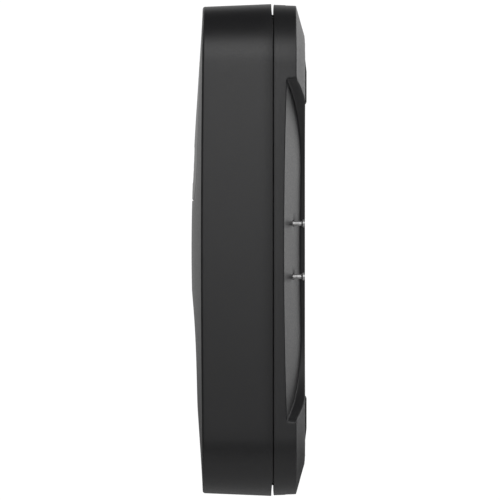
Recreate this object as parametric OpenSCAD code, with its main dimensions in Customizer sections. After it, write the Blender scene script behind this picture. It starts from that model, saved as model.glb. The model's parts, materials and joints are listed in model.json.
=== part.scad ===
// Video doorbell: a crowned faceplate over a sealed battery body, with wire terminals on the back.
// Millimetres. +Z is up, the front faces -Y, and the wall plane is Y = 0 at mid-height.

/* [Overall] */
// Width across the side walls
body_w = 62; // [60:1:80]
// Height of the faceplate at its rear edge
body_h = 126.5; // [124:0.5:155]
// Depth from the wall plane to the highest point of the crown
body_d = 29.8; // [29:0.1:36]
// Corner radius of the front outline
corner_r = 15; // [14:0.5:18]

/* [Crowned front] */
// How far the crown falls from the centre to the top and bottom ends
crown_end = 3.07; // [1:0.01:4]
// How far the crown falls from the centre to the side edges at mid-height
crown_side = 2.9; // [1:0.1:4]
// Extra fall of the side edges towards the ends
side_lift = 0.28; // [0:0.01:0.6]
// Rounding between the crown and the side walls
edge_round = 0.7; // [0.3:0.1:1]

/* [Faceplate] */
// Side wall thickness
plate_wall = 1.6; // [1.2:0.1:1.8]
// Front wall thickness
plate_front = 1.8; // [1.2:0.1:1.9]
// How much the walls lean in from the rear edge to the front edge
plate_draft = 0.69; // [0.2:0.01:0.7]
// Gap between the rear edge and the rear housing along the sides
part_gap = 0.2; // [0.1:0.05:0.4]
// Extra gap across the top and bottom ends
end_gap = 0.4; // [0:0.05:0.8]
// Height of each of those end reliefs
end_relief = 4.2; // [2:0.1:8]

/* [Rear housing] */
// Distance of its front rim from the wall plane
rim_depth = 8.52; // [8.4:0.01:8.6]
// Wall thickness
housing_wall = 1.5; // [1.2:0.1:1.6]
// Width of the sloping border of the back
back_slope_w = 8.5; // [6:0.5:10]
// Height of the sloping border of the back
back_slope_h = 2.4; // [1.5:0.1:2.6]
// Height of the low end pads above the end faces
end_pad_h = 0.25; // [0.1:0.05:0.4]
// Width of the low end pads
end_pad_w = 26; // [16:1:30]
// Depth of the low end pads behind the rim
end_pad_d = 3.1; // [2:0.1:4]

/* [Rear pads] */
// Thickness of the pads that stand on the wall
pad_t = 0.45; // [0.3:0.05:0.6]
// Height of each pad's inner end above or below mid-height
pad_start = 38; // [36:0.5:42]
// Full-thickness length of each pad
pad_run = 8; // [6:0.5:10]
// Length of the ramp at each pad's outer end
pad_ramp = 4; // [2:0.5:5]
// Width of the pads
pad_w = 21; // [12:1:22]

/* [Side scallops] */
// Distance of the scallop's floor from the wall plane, at the side edge and mid-height
scallop_floor = 6; // [5.6:0.1:6.1]
// How much less deep the floor is at the ends of the scallop
scallop_rise = 0.77; // [0.2:0.01:1]
// Slope of the floor towards the spine, in degrees
scallop_tilt = 15.4; // [14:0.1:15.5]
// Height of the scallop along the side edge
scallop_len = 90.4; // [84:0.2:94]
// Width of the spine between the two scallops
spine_w = 30; // [28:1:32]
// Radius of the scallop's wall at its ends
scallop_bend_r = 25; // [20:1:26]
// Rounding where that wall meets the side
scallop_edge_r = 2.8; // [1:0.1:3]

/* [Sealed body] */
// Inset of the front housing from the faceplate's rear outline
inner_inset = 2.75; // [2.6:0.05:3]
// Wall thickness of the front housing
inner_wall = 1.4; // [1.2:0.1:1.5]
// Distance of the front housing's front face from the wall plane
inner_depth = 24.6; // [24.4:0.1:24.8]
// Width of the seal between the two housings
seal_w = 0.5; // [0.4:0.05:0.6]
// Depth of the seal's groove
seal_h = 0.6; // [0.4:0.1:0.8]

/* [Wall screws] */
// Inset of the wall screws from the side faces
wall_screw_side = 14; // [13.6:0.1:14.4]
// Inset of the wall screws from the end faces
wall_screw_end = 6; // [5.8:0.1:6.2]
// Radius of the wall screw holes
wall_hole_r = 2.2; // [2:0.1:2.4]
// Radius of the notch that clears each screw's head
head_notch_r = 4; // [3.8:0.1:4.1]

/* [Camera window] */
// Width of the window
win_w = 42; // [38:1:44]
// Height of the window
win_h = 43; // [42:1:44]
// Height of the window's centre above mid-height
win_z = 34.5; // [34:0.5:35]
// Corner radius of the window
win_r = 9; // [6:0.5:12]
// Wall thickness of the window
win_wall = 1.5; // [1.2:0.1:1.6]
// Height of the camera above mid-height
lens_z = 41; // [40:0.5:41.5]
// Radius of the clear lens cover
cover_r = 6.5; // [6:0.1:6.8]
// Height of the motion sensor above mid-height
pir_z = 22; // [21.9:0.1:22.5]
// Width of the motion sensor's lens
pir_w = 18; // [12:1:20]
// Height of the motion sensor's lens
pir_h = 9; // [6:0.5:9]
// Height of the microphone hole above mid-height
mic_z = 29.9; // [29.5:0.1:30.3]

/* [Bell button] */
// Distance of the button's centre below mid-height
btn_drop = 26; // [24:0.5:28]
// Radius of the button
btn_r = 14.1; // [12:0.1:15]
// Width of the light ring
ring_w = 1.2; // [0.8:0.1:1.6]
// How far the button lies below the crown
btn_recess = 0.35; // [0.1:0.05:0.4]
// How far the light ring lies below the crown
ring_recess = 0.15; // [0:0.05:0.3]

/* [Battery] */
// Radius of each cell
cell_r = 9.25; // [9:0.05:9.3]
// Length of each cell
cell_len = 65; // [60:0.5:65]
// Height of the cells' upper ends above mid-height
cell_top = 17.5; // [14:0.5:17.5]
// Gap between the two cells
cell_gap = 0.5; // [0.2:0.1:1]

/* [Terminals] */
// Inset of the screws from the side face
term_inset = 9; // [8.5:0.1:9.5]
// Distance between the two screws
term_pitch = 13.6; // [10:0.2:16]
// Radius of the screw's shank
term_shank_r = 0.6; // [0.5:0.05:0.65]
// Radius of the screw's head
term_head_r = 1; // [0.9:0.05:1.3]
// Thickness of the head
term_head_t = 0.9; // [0.7:0.1:1]
// Distance of the head's outer face from the wall plane
term_head_y = 0.6; // [0.5:0.1:1]
// Width of the wire groove at each terminal
term_groove_w = 1.74; // [1.5:0.02:2]
// Depth of the wire groove at its terminal
term_groove_d = 1.23; // [1:0.01:1.4]

/* [Charging side] */
// Distance of the charging port below mid-height
port_drop = 8; // [7:0.5:9]
// Distance of the setup button above mid-height
setup_z = 8; // [7:0.5:9]
// Radius of the setup button
setup_r = 2.3; // [2:0.1:2.6]

/* [Fits] */
// Running clearance of a shaft in its bore
run_fit = 0.05; // [0.02:0.01:0.1]
// Clearance of the buttons and removable covers in their openings
slide_fit = 0.2; // [0.15:0.05:0.3]
// Clearance of a fixed insert in its pocket
seat_fit = 0.1; // [0.05:0.05:0.15]

/* [Hidden] */
$fn = 64;
half_w = body_w / 2;
half_h = body_h / 2;
corner_steps = 8;

// Extra points along the straight stretches of a crowned outline.
end_steps = 4;
side_steps = 12;

// The crown is a cosine along the height, this many degrees from the centre to each end.
crown_span = 114.6;
plate_rings = [1, 0.94, 0.87, 0.79, 0.7, 0.6, 0.49, 0.37, 0.24, 0.12];
plug_rings = [1, 0.85, 0.65, 0.4, 0.2];

rim_y = -rim_depth;
plateau_y = -pad_t;
plate_back_y = rim_y - part_gap;
inner_front_y = -inner_depth;
inner_back_y = inner_front_y + inner_wall;

// The housing's end faces lie below the faceplate's, and its sides lean in behind the end pads.
housing_h = body_h - 2 * end_pad_h;
slope_foot_y = plateau_y - back_slope_h;
lean = 0.2;
cavity_y = plateau_y - housing_wall - 0.1;
side_cavity = 4.4;
cavity_end = max(46, cell_len - cell_top + 1);
well_end = 57;
well_half_w = 17.4;

// Scallop outline: two bend circles joined by a straight stretch, and a rounded run-out.
bend_x = spine_w / 2 + scallop_bend_r;
run_out = sqrt(pow(scallop_bend_r + scallop_edge_r, 2) - pow(bend_x - half_w + scallop_edge_r, 2));
bend_z = scallop_len / 2 - run_out;
floor_r = (pow(scallop_len / 2, 2) + pow(scallop_rise, 2)) / (2 * scallop_rise);

wall_screw_x = half_w - wall_screw_side;
wall_screw_z = half_h - wall_screw_end;
case_screw_x = half_w - 11.8;
case_screw_z = half_h - 13.05;
case_screw_r = 1;
case_head_r = 2.2;
case_head_t = 1.3;
case_boss_r = 2.5;
wall_screw_rib = 1.3;

// Boards lie in layers between the front face and the cells.
board_t = 0.8;
front_board_y = inner_front_y - board_t;
main_board_y = -13;
main_board_w = 44;
main_board_lo = 19;
main_board_hi = half_h - 8.25;
main_board_shoulder = half_h - 17.25;
main_board_neck = 21;
board_post_x = 18;
board_post_z = 24;
lens_barrel_r = 5.2;
pir_can_r = 4.1;

btn_z = -btn_drop;
btn_back_y = -27.3;
btn_switch_y = -26.8;
btn_travel = 0.4;
ring_in_r = btn_r + slide_fit;
ring_out_r = ring_in_r + ring_w;
ring_back_y = front_board_y - 0.55;

cell_x = cell_r + cell_gap / 2;
cell_y = inner_back_y + cell_r + 0.65;
cell_low = cell_top - cell_len;

// Slots under the speaker, on both sides of the security screw.
slot_xs = [6, 8, 10];
slot_w = 1;
slot_lo_y = -19;
slot_hi_y = -11;
guard_half_w = 3;
guard_h = 2.9;
guard_y = -14;
guard_r = 1;
guard_head_r = 2;
guard_head_t = 0.9;
guard_washer_t = 0.3;
speaker_hi = cell_low - 2.7;
speaker_lo = speaker_hi - 6.8;
inner_low = -half_h + inner_inset;
speaker_half_w = 10.5;

term_x = half_w - term_inset;
term_zs = [-term_pitch / 2, term_pitch / 2];
term_floor_y = -scallop_floor + term_inset * tan(scallop_tilt);
term_groove_y = term_floor_y - term_groove_d;
term_seat_y = term_groove_y - 0.65;
term_end_y = -9.2;
term_bush_r = 1.6;
term_ring_r = 1.1;
term_tip_y = -7.65;
side_board_y = -9.8;
side_x = -(half_w - term_inset);
port_z = -port_drop;

// ---- outlines and solids ----

// A point on the rounded corner number c, at turn t from 0 to 1.
function corner_point(w, h, r, c, t) =
    let (a = 90 * (c + t), sx = (c == 0 || c == 3) ? 1 : -1, sz = c < 2 ? 1 : -1)
        [sx * (w / 2 - r) + r * cos(a), sz * (h / 2 - r) + r * sin(a)];

// A rounded rectangle, counter-clockwise in X and Z, with spare points on its ends and sides if asked for.
function outline(w, h, r, steps = corner_steps, ends = 1, sides = 1) = [
    for (c = [0:3])
        let (
            a = corner_point(w, h, r, c, 1),
            b = corner_point(w, h, r, (c + 1) % 4, 0),
            n = c % 2 == 0 ? ends : sides
        )
            each concat(
                [for (i = [0:steps]) corner_point(w, h, r, c, i / steps)],
                [for (i = [1:1:n - 1]) a + (b - a) * i / n]
            )
];
function ring_outline(r, z, steps = 48) = [
    for (i = [0:steps - 1]) [r * cos(360 * i / steps), z + r * sin(360 * i / steps)]
];
function shifted(pts, z) = [for (p = pts) [p.x, p.y + z]];
function shrunk(pts, s, c) = [for (p = pts) c + (p - c) * s];
function body_outline(inset, h = body_h, ends = 1, sides = 1) =
    outline(body_w - 2 * inset, h - 2 * inset, corner_r - inset, corner_steps, ends, sides);
function plate_outline(inset) = body_outline(inset, body_h, end_steps, side_steps);

// Height of the crowned front over the point (x, z), as a Y coordinate.
function mid_fall(z) = crown_end * (1 - cos(crown_span * abs(z) / half_h)) / (1 - cos(crown_span));
function side_fall(z) = crown_side + side_lift * pow(z / half_h, 2);
function crown_y(x, z) = -body_d + mid_fall(z) + (side_fall(z) - mid_fall(z)) * pow(x / half_w, 2);

function flat_ring(pts, y) = [for (p = pts) [p.x, y, p.y]];
function crown_ring(pts, sink) = [for (p = pts) [p.x, crown_y(p.x, p.y) + sink, p.y]];

// Joins rings of points, from the back one to the front one, with a flat back and a pointed front.
module loft(rings, tip) {
    n = len(rings[0]);
    m = len(rings);
    sides = [
        for (k = [0:m - 2], i = [0:n - 1])
            let (j = (i + 1) % n, b = k * n, f = b + n)
                each [[f + i, f + j, b + j], [f + i, b + j, b + i]]
    ];
    cap = [for (i = [0:n - 1]) [m * n, (m - 1) * n + (i + 1) % n, (m - 1) * n + i]];
    back = [[for (i = [0:n - 1]) i]];
    polyhedron(points = concat([for (r = rings) each r], [tip]), faces = concat(back, sides, cap));
}

// A straight-sided plug whose front follows the crown, sunk below it.
module crowned_plug(pts, center, back_y, sink) {
    rings = [for (s = plug_rings) crown_ring(shrunk(pts, s, center), sink)];
    loft(concat([flat_ring(pts, back_y)], rings), [center.x, crown_y(center.x, center.y) + sink, center.y]);
}

// The faceplate's form, inset on all sides and sunk at the front, with a rounded front edge.
module plate_form(inset, back_y, sink, rounding) {
    edge = inset + plate_draft;
    rim = plate_outline(edge + rounding);
    turn = rounding > 0 ? [0, 30, 60] : [];
    round_rings = [
        for (a = turn)
            let (pts = plate_outline(edge + rounding * (1 - cos(a))))
                [for (i = [0:len(pts) - 1])
                    [pts[i].x, crown_y(rim[i].x, rim[i].y) + sink + rounding * (1 - sin(a)), pts[i].y]]
    ];
    crown = [for (s = plate_rings) crown_ring(shrunk(rim, s, [0, 0]), sink)];
    loft(concat([flat_ring(plate_outline(inset), back_y)], round_rings, crown), [0, crown_y(0, 0) + sink, 0]);
}

// A 2D outline drawn in X and Z, extruded from y0 to y1.
module slab(y0, y1) { translate([0, y1, 0]) rotate([90, 0, 0]) linear_extrude(y1 - y0) children(); }
module rod(r, y0, y1, x = 0, z = 0) { translate([x, y1, z]) rotate([90, 0, 0]) cylinder(r = r, h = y1 - y0); }
module post(r, z0, z1, x = 0, y = 0) { translate([x, y, z0]) cylinder(r = r, h = z1 - z0); }
module brick(lo, hi) { translate(lo) cube(hi - lo); }
module pill(w, h, r, x = 0, z = 0) { translate([x, z]) polygon(outline(w, h, r, 5)); }
module at_corners(x, z) { for (sx = [-1, 1], sz = [-1, 1]) translate([sx * x, 0, sz * z]) children(); }
module both_sides() { children(); mirror([1, 0, 0]) children(); }

// ---- faceplate ----

module faceplate() {
    color("#2e2f31") difference() {
        plate_form(0, plate_back_y, 0, edge_round);
        plate_form(plate_wall, plate_back_y + 1, plate_front, 0);
        end_reliefs();
        slab(-body_d - 1, rim_y) pill(win_w + 2 * slide_fit, win_h + 2 * slide_fit, win_r + slide_fit, 0, win_z);
        rod(ring_out_r + slide_fit, -body_d - 1, rim_y, 0, btn_z);
        speaker_slots(-half_h - 1, inner_low);
        post(guard_r + seat_fit, -half_h - 1, inner_low, 0, guard_y);
        post(guard_head_r + slide_fit, -half_h - 1, -half_h + guard_head_t + guard_washer_t, 0, guard_y);
    }
}

module end_reliefs() {
    for (s = [-1, 1])
        translate([0, 0, s * (half_h - end_relief / 2 + 0.5)])
            translate([-half_w, plate_back_y - end_gap, -end_relief / 2 - 0.5])
                cube([body_w, end_gap + 1, end_relief + 1]);
}

module speaker_slots(z0, z1) {
    for (x = slot_xs, s = [-1, 1])
        brick([s * x - slot_w / 2, slot_lo_y, z0], [s * x + slot_w / 2, slot_hi_y, z1]);
}

// ---- housings ----

module sealed_outline(inset) {
    difference() {
        polygon(body_outline(inner_inset + inset));
        for (sx = [-1, 1], sz = [-1, 1])
            translate([sx * wall_screw_x, sz * wall_screw_z]) circle(head_notch_r + inset);
    }
}

module front_housing() {
    color("#242526") difference() {
        union() {
            difference() {
                slab(inner_front_y, rim_y) sealed_outline(0);
                slab(inner_back_y, rim_y + 1) sealed_outline(inner_wall);
            }
            at_corners(case_screw_x, case_screw_z) rod(case_boss_r, inner_back_y - 0.5, rim_y);
            for (s = [-1, 1]) rod(2.2, inner_back_y - 0.5, main_board_y, s * board_post_x, board_post_z);
            brick([-guard_half_w, inner_back_y - 0.5, inner_low + 0.5],
                [guard_half_w, guard_y + 3, inner_low + guard_h]);
        }
        rod(lens_barrel_r + slide_fit, inner_front_y - 1, inner_back_y + 1, 0, lens_z);
        rod(pir_can_r + slide_fit, inner_front_y - 1, inner_back_y + 1, 0, pir_z);
        brick([9.5, inner_front_y - 1, -13.5], [14.5, inner_back_y + 1, -12.5]);
        at_corners(case_screw_x, case_screw_z) rod(case_screw_r, -16, rim_y + 1);
        for (s = [-1, 1]) rod(0.8, -18, main_board_y + 1, s * board_post_x, board_post_z);
        guard_channel();
        speaker_slots(inner_low - 1, inner_low + inner_wall + 0.5);
    }
}

// The security screw's tip stands in a channel that is open to the front.
module guard_channel() {
    post(guard_r + 0.15, inner_low - 1, inner_low + guard_h - 0.6, 0, guard_y);
    brick([-guard_r - 0.15, inner_front_y - 1, inner_low - 1],
        [guard_r + 0.15, guard_y, inner_low + guard_h - 0.6]);
}

module housing_form() {
    rear = body_outline(0, housing_h);
    foot = body_outline(lean, housing_h);
    top = outline(body_w - 2 * back_slope_w, housing_h - 2 * back_slope_w, corner_r - back_slope_w);
    n = len(rear);
    rings = [flat_ring(top, plateau_y), flat_ring(foot, slope_foot_y), flat_ring(rear, rim_y + 0.01)];
    loft(rings, [0, rim_y, 0]);
    for (s = [-1, 1])
        translate([-end_pad_w / 2, rim_y, s * (half_h - 1) - 1])
            cube([end_pad_w, end_pad_d, 2]);
}

// One scallop's outline in X and Z, on the +X side.
module scallop_plan() {
    reach = half_w + 10 - spine_w / 2;
    round_x = half_w - scallop_edge_r;
    translate([spine_w / 2, -bend_z]) square([reach, 2 * bend_z]);
    for (s = [-1, 1]) {
        translate([bend_x, s * bend_z]) circle(scallop_bend_r);
        difference() {
            polygon([
                [round_x, s * scallop_len / 2],
                [half_w + 10, s * scallop_len / 2],
                [half_w + 10, s * bend_z],
                [bend_x, s * bend_z]
            ]);
            translate([round_x, s * scallop_len / 2]) circle(scallop_edge_r);
        }
    }
}

// The floor is a shallow arc along Z, swept along a line that slopes towards the spine.
module scallop() {
    reach = scallop_len / 2 + 4;
    steps = 10;
    arc = [for (i = [-steps:steps]) let (z = reach * i / steps) [floor_r - sqrt(pow(floor_r, 2) - z * z), z]];
    intersection() {
        slab(-scallop_floor - 4, 3) scallop_plan();
        translate([half_w, -scallop_floor, 0]) rotate([0, 0, -scallop_tilt]) translate([-half_w, 0, 0])
            rotate([90, 0, 90]) linear_extrude(body_w) polygon(concat(arc, [[20, reach], [20, -reach]]));
    }
}

module housing_cavity() {
    step_out_x = half_w - side_cavity;
    step_x = spine_w / 2 - housing_wall;
    fall = tan(scallop_tilt);
    floor_y = -scallop_floor - housing_wall;
    half = [[step_x, cavity_y], [step_x, floor_y + (half_w - step_x) * fall],
        [step_out_x, floor_y + side_cavity * fall], [step_out_x, rim_y - 1]];
    other = [for (i = [len(half) - 1:-1:0]) [-half[i].x, half[i].y]];
    translate([0, 0, -cavity_end]) linear_extrude(2 * cavity_end) polygon(concat(half, other));
    for (s = [-1, 1])
        brick([-well_half_w, rim_y - 1, s > 0 ? cavity_end - 1 : -well_end],
            [well_half_w, slope_foot_y - 0.6, s > 0 ? well_end : -cavity_end + 1]);
}

module rear_housing() {
    color("#3a3b3d") difference() {
        union() {
            difference() {
                housing_form();
                housing_cavity();
                both_sides() scallop();
            }
            at_corners(case_screw_x, case_screw_z) rod(case_boss_r, rim_y, slope_foot_y);
            at_corners(wall_screw_x, wall_screw_z) rod(head_notch_r + wall_screw_rib, rim_y, slope_foot_y);
            for (z = term_zs) rod(2.8, term_end_y, term_floor_y - 1.1, term_x, z);
        }
        slab(rim_y - 1, rim_y + seal_h) difference() {
            sealed_outline(0.45);
            sealed_outline(0.45 + seal_w);
        }
        at_corners(wall_screw_x, wall_screw_z) rod(wall_hole_r, rim_y - 1, 1);
        at_corners(case_screw_x, case_screw_z) {
            rod(case_screw_r + 0.2, rim_y - 1, 1);
            rod(case_head_r + 0.2, plateau_y - case_head_t, 1);
        }
        for (z = term_zs) {
            rod(term_groove_w / 2, term_groove_y, 1, term_x, z);
            brick([term_x, term_groove_y, z - term_groove_w / 2], [half_w, 1, z + term_groove_w / 2]);
            rod(term_shank_r + slide_fit, term_seat_y - 0.1, 1, term_x, z);
            rod(term_bush_r, term_end_y - 1, term_seat_y, term_x, z);
        }
        slab(-12, 1) pill(3.6, 9.4, 1.7, side_x, port_z);
        rod(setup_r + slide_fit / 2, -12, 1, side_x, setup_z);
    }
}

module housing_seal() {
    color("#1b1b1c") slab(rim_y, rim_y + seal_h - 0.05) difference() {
        sealed_outline(0.45 + 0.03);
        sealed_outline(0.45 + seal_w - 0.03);
    }
}

// Two low pads with a square inner end and a ramp at the outer end.
module rear_pads() {
    color("#2a2a2b") for (s = [-1, 1])
        translate([-pad_w / 2, 0, 0]) rotate([90, 0, 90]) linear_extrude(pad_w)
            polygon([[plateau_y, s * pad_start], [0, s * (pad_start + 0.2)], [0, s * (pad_start + pad_run)],
                [plateau_y, s * (pad_start + pad_run + pad_ramp)]]);
}

module housing_screws() {
    color("#b9bbbd") at_corners(case_screw_x, case_screw_z) difference() {
        union() {
            rod(case_head_r, plateau_y - case_head_t, plateau_y - 0.2);
            rod(case_screw_r, -15.5, plateau_y - case_head_t + 0.1);
        }
        rod(0.9, plateau_y - 0.9, 0, $fn = 6);
    }
}

// ---- camera window ----

function window_outline(inset) =
    shifted(outline(win_w - 2 * inset, win_h - 2 * inset, win_r - inset, 7, 4, 4), win_z);

module camera_window() {
    center = [0, win_z];
    color("#121213") difference() {
        crowned_plug(window_outline(0), center, inner_front_y, 0);
        crowned_plug(window_outline(win_wall), center, inner_front_y + 1, win_wall);
        rod(cover_r + 1.1, -body_d - 1, inner_front_y + 1, 0, lens_z);
        slab(-body_d - 1, inner_front_y + 1) pill(pir_w + 2 * seat_fit, pir_h + 2 * seat_fit, 3.5, 0, pir_z);
        rod(0.45, -body_d - 1, inner_front_y + 1, 0, mic_z);
    }
}

module lens_bezel() {
    color("#0e0e0f") difference() {
        crowned_plug(ring_outline(cover_r + 1, lens_z), [0, lens_z], -26.9, 0.05);
        rod(cover_r + 0.05, -body_d, -20, 0, lens_z);
    }
}

module lens_cover() {
    color("#2a2f38", 0.5) crowned_plug(ring_outline(cover_r, lens_z), [0, lens_z], -27, 0.15);
}

module lens_barrel() {
    color("#1a1a1b") difference() {
        union() {
            rod(lens_barrel_r, -23.6, -18.6, 0, lens_z);
            rod(lens_barrel_r - 0.3, -26.8, -23.6, 0, lens_z);
        }
        rod(3.6, -28, -24, 0, lens_z);
        rod(3, -24.5, -18, 0, lens_z);
        translate([0, -26.3, lens_z]) rotate([90, 0, 0]) cylinder(r1 = 3.6, r2 = 4.5, h = 0.6);
    }
}

// Three glass elements: a domed front one and two behind it.
module lens_elements() {
    color("#5d6f86", 0.5) {
        intersection() {
            rod(3.55, -26.7, -24.05, 0, lens_z);
            translate([0, -20.6, lens_z]) sphere(6);
        }
        rod(2.95, -23.4, -22.2, 0, lens_z);
        rod(2.95, -20.6, -19.6, 0, lens_z);
    }
}

module light_baffle() {
    color("#1c1c1d") difference() {
        rod(6.5, front_board_y - 1.4, front_board_y, 0, lens_z);
        rod(5.6, -28, -20, 0, lens_z);
    }
}

module camera_holder() {
    color("#1f1f20") difference() {
        slab(inner_back_y, -17.2) pill(15, 15, 1.5, 0, lens_z);
        rod(lens_barrel_r + 0.02, -25, -18.5, 0, lens_z);
        rod(3.4, -19, -16, 0, lens_z);
    }
}

module camera_board() { color("#1d4d35") slab(-17.2, -16.4) pill(18, 16, 1, 0, lens_z); }

module image_sensor() {
    color("#30343a") slab(-18, -17.2) pill(4.4, 3.8, 0.3, 0, lens_z);
}

module infrared_board() {
    gap = 2 * (win_wall + 0.4);
    color("#17442e") difference() {
        slab(front_board_y, inner_front_y) pill(win_w - gap, win_h - gap, win_r - gap / 2, 0, win_z);
        rod(5.5, -28, -20, 0, lens_z);
        rod(pir_can_r + 0.3, -28, -20, 0, pir_z);
    }
}

module infrared_leds() {
    color("#3a3550") for (s = [-1, 1]) {
        slab(front_board_y - 0.5, front_board_y) pill(2.8, 2.8, 0.3, s * 13, lens_z);
        rod(1, front_board_y - 0.8, front_board_y - 0.5, s * 13, lens_z);
    }
}

module light_sensor() { color("#4a4a4c") slab(front_board_y - 0.5, front_board_y) pill(2, 2, 0.2, 12, pir_z); }

module microphone() {
    color("#b8a56a") difference() {
        slab(front_board_y - 0.9, front_board_y) pill(3, 2.2, 0.2, 0, mic_z);
        rod(0.4, -28, front_board_y - 0.5, 0, mic_z);
    }
}

module microphone_gasket() {
    color("#202021") difference() {
        rod(1.05, front_board_y - 1.7, front_board_y - 0.9, 0, mic_z);
        rod(0.5, -30, -20, 0, mic_z);
    }
}

module motion_lens() {
    color("#1d1e20") difference() {
        crowned_plug(shifted(outline(pir_w, pir_h, 3.4, 5), pir_z), [0, pir_z], -27.4, 0.1);
        slab(-28.4, -27) pill(pir_w - 1.6, pir_h - 1.6, 2.6, 0, pir_z);
    }
}

module motion_sensor() {
    color("#9a9ca0") {
        rod(pir_can_r, -26.2, -22.7, 0, pir_z);
        slab(-26.5, -26.2) pill(4, 3, 0.3, 0, pir_z);
    }
}

module motion_board() { color("#1d4d35") slab(-22.7, -21.9) pill(16, 8.4, 1, 0, pir_z); }

// ---- bell button ----

module bell_button() {
    color("#1e1f21") difference() {
        union() {
            crowned_plug(ring_outline(btn_r, btn_z), [0, btn_z], btn_back_y, btn_recess);
            rod(btn_r, btn_back_y - 0.1, btn_back_y + 0.7, 0, btn_z);
        }
        rod(btn_r - 0.8, btn_back_y, -20, 0, btn_z);
    }
}

module button_plunger() { color("#0d0d0e") rod(1.5, btn_back_y, btn_switch_y + 0.5, 0, btn_z); }

module button_switch() {
    color("#8d9093") difference() {
        slab(btn_switch_y, front_board_y) pill(6, 6, 0.5, 0, btn_z);
        rod(1.5 + run_fit, -28, front_board_y - 0.3, 0, btn_z);
    }
}

module button_seal() {
    color("#2b2b2d") difference() {
        rod(12.6, front_board_y - 1, front_board_y, 0, btn_z);
        rod(10.4, -28, -20, 0, btn_z);
    }
}

module button_board() { color("#17442e") rod(ring_out_r + 0.8, front_board_y, inner_front_y, 0, btn_z); }

module light_ring() {
    color("#d9dde0") difference() {
        union() {
            crowned_plug(ring_outline(ring_out_r, btn_z), [0, btn_z], ring_back_y, ring_recess);
            rod(ring_out_r + 0.6, ring_back_y - 0.15, ring_back_y, 0, btn_z);
        }
        rod(ring_in_r, -body_d - 1, -20, 0, btn_z);
    }
}

module ring_leds() {
    color("#f1f0e4") for (a = [22.5:45:359])
        translate([0, 0, btn_z]) rotate([0, a, 0]) translate([0, 0, ring_in_r + ring_w / 2])
            slab(front_board_y - 0.5, front_board_y) square(1, center = true);
}

// A flat ribbon from the button board up the inside of the front wall, then back to the main board.
module button_ribbon() {
    color("#a97a3c") {
        brick([10, inner_back_y + 0.15, -14], [14, inner_back_y + 0.35, 28]);
        brick([10, inner_back_y + 0.3, 27.8], [14, main_board_y, 28]);
        brick([10, inner_front_y + 0.1, -13.2], [14, inner_back_y + 0.2, -13]);
    }
}

// ---- boards ----

module main_board() {
    mid = (main_board_lo + main_board_shoulder) / 2;
    color("#1d4d35") difference() {
        slab(main_board_y, main_board_y + board_t) {
            pill(main_board_w, main_board_shoulder - main_board_lo, 5, 0, mid);
            pill(main_board_neck, main_board_hi - main_board_lo, 3, 0, (main_board_lo + main_board_hi) / 2);
        }
        for (s = [-1, 1]) {
            rod(case_boss_r + 0.4, -20, -8, s * case_screw_x, case_screw_z);
            rod(1, -20, -8, s * board_post_x, board_post_z);
            rod(head_notch_r + inner_wall + 0.4, -20, -8, s * wall_screw_x, wall_screw_z);
        }
    }
}

module board_screws() {
    color("#c4c6c8") for (s = [-1, 1]) {
        rod(1.7, main_board_y + board_t, main_board_y + board_t + 0.9, s * board_post_x, board_post_z);
        rod(0.8, main_board_y - 3.5, main_board_y + board_t + 0.1, s * board_post_x, board_post_z);
    }
}

module radio_shield() {
    y = main_board_y + board_t;
    color("#b4b7ba") difference() {
        slab(y, y + 2.2) pill(24, 16, 1, 0, 38);
        slab(y - 1, y + 2) pill(23.4, 15.4, 0.8, 0, 38);
    }
}

module processor_chips() {
    y = main_board_y + board_t;
    color("#202124") {
        slab(y, y + 1.1) pill(9, 9, 0.3, -5, 38);
        slab(y, y + 0.9) pill(7, 9, 0.3, 6, 38);
    }
}

module board_parts() {
    y = main_board_y + board_t;
    color("#7d7464") for (i = [0:4]) {
        slab(y, y + 0.8) pill(1.6, 2.6, 0.1, -17, 31 + 3.6 * i);
        slab(y, y + 1.4) pill(2.6, 2.6, 0.2, 17, 31 + 3.6 * i);
    }
}

module board_connectors() {
    y = main_board_y + board_t;
    color("#e4e0d0") {
        slab(y, y + 3) pill(7, 3, 0.3, 0, 21.4);
        slab(y, y + 1.1) pill(4.4, 2.4, 0.2, -20 + 4.2, 28);
        slab(y, y + 1.1) pill(3, 2.4, 0.2, 20 - 8.4, 22);
    }
}

module antenna() { color("#c08a4a") brick([-10, -21, half_h - 4.9], [10, -9, half_h - 4.6]); }

// ---- battery ----

module battery_cells() {
    color("#3f6fa8") both_sides() {
        post(cell_r, cell_low, cell_top - 1, cell_x, cell_y);
        post(cell_r - 1, cell_top - 1.1, cell_top - 0.6, cell_x, cell_y);
        post(3, cell_top - 0.7, cell_top, cell_x, cell_y);
    }
}

module battery_strips() {
    color("#c9ccd0") {
        brick([-cell_x - 3, cell_y - 3, cell_low - 0.2], [cell_x + 3, cell_y + 3, cell_low]);
        brick([-cell_x - 2, cell_y - 2, cell_top], [cell_x + 2, cell_y + 2, cell_top + 0.2]);
    }
}

module battery_foam() {
    color("#3b3b3c") both_sides()
        brick([5, cell_y + cell_r, cell_low + 6], [13, cavity_y, cell_top - 6]);
}

module battery_board() {
    color("#1d4d35") brick([-9, cell_y - 6, cell_low - 1.2], [9, cell_y + 6, cell_low - 0.4]);
}

// Two wires in the valley between the cells, turned forward into the main board's connector.
module battery_leads() {
    y = cell_y + 7.6;
    top = 21.4;
    for (s = [-1, 1]) color(s < 0 ? "#8c1f1f" : "#1a1a1a") {
        post(0.55, cell_low - 0.4, top, s * 0.9, y);
        translate([s * 0.9, y, top]) sphere(0.55);
        rod(0.55, main_board_y + board_t + 3, y, s * 0.9, top);
    }
}

// ---- speaker ----

module speaker_frame() {
    color("#262728") difference() {
        brick([-speaker_half_w, -21, speaker_lo], [speaker_half_w, -8.8, speaker_hi]);
        brick([-speaker_half_w + 0.8, -20.2, speaker_lo - 1], [speaker_half_w - 0.8, -9.6, speaker_hi - 0.8]);
    }
}

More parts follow.
